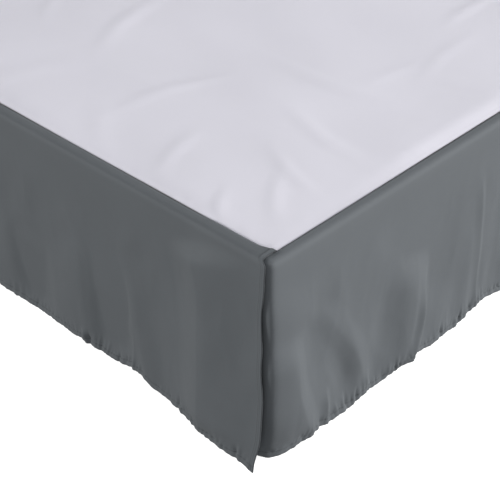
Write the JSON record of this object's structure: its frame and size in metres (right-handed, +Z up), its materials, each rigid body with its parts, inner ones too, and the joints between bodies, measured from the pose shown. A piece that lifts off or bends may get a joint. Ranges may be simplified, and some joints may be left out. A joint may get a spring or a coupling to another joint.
{
  "type": "bed skirt on a bed base",
  "caption": "Tailored grey bed skirt with split foot corners and a white platform sheet, draped over a plain bed base on legs.",
  "frame": {"origin": "on the floor, under the middle of the bed base", "axes": "+Y to the head of the bed, +Z up, so the foot panel faces -Y and the side panels face -X and +X"},
  "size_m": [1.5902, 2.0452, 0.3762],
  "materials": {
    "skirt_cloth": "brushed microfibre, soft sheen",
    "platform_cloth": "thin plain-woven white polyester",
    "base_cover": "plain woven cover",
    "leg_plastic": "moulded, matt"
  },
  "bodies": {
    "root": {"platform": "platform_cloth", "side_panel_left": "skirt_cloth", "side_panel_right": "skirt_cloth", "foot_panel": "skirt_cloth", "bed_base": "base_cover", "leg_left_front": "leg_plastic", "leg_left_middle": "leg_plastic", "leg_left_head": "leg_plastic", "leg_right_front": "leg_plastic", "leg_right_middle": "leg_plastic", "leg_right_head": "leg_plastic"}
  },
  "joints": []
}
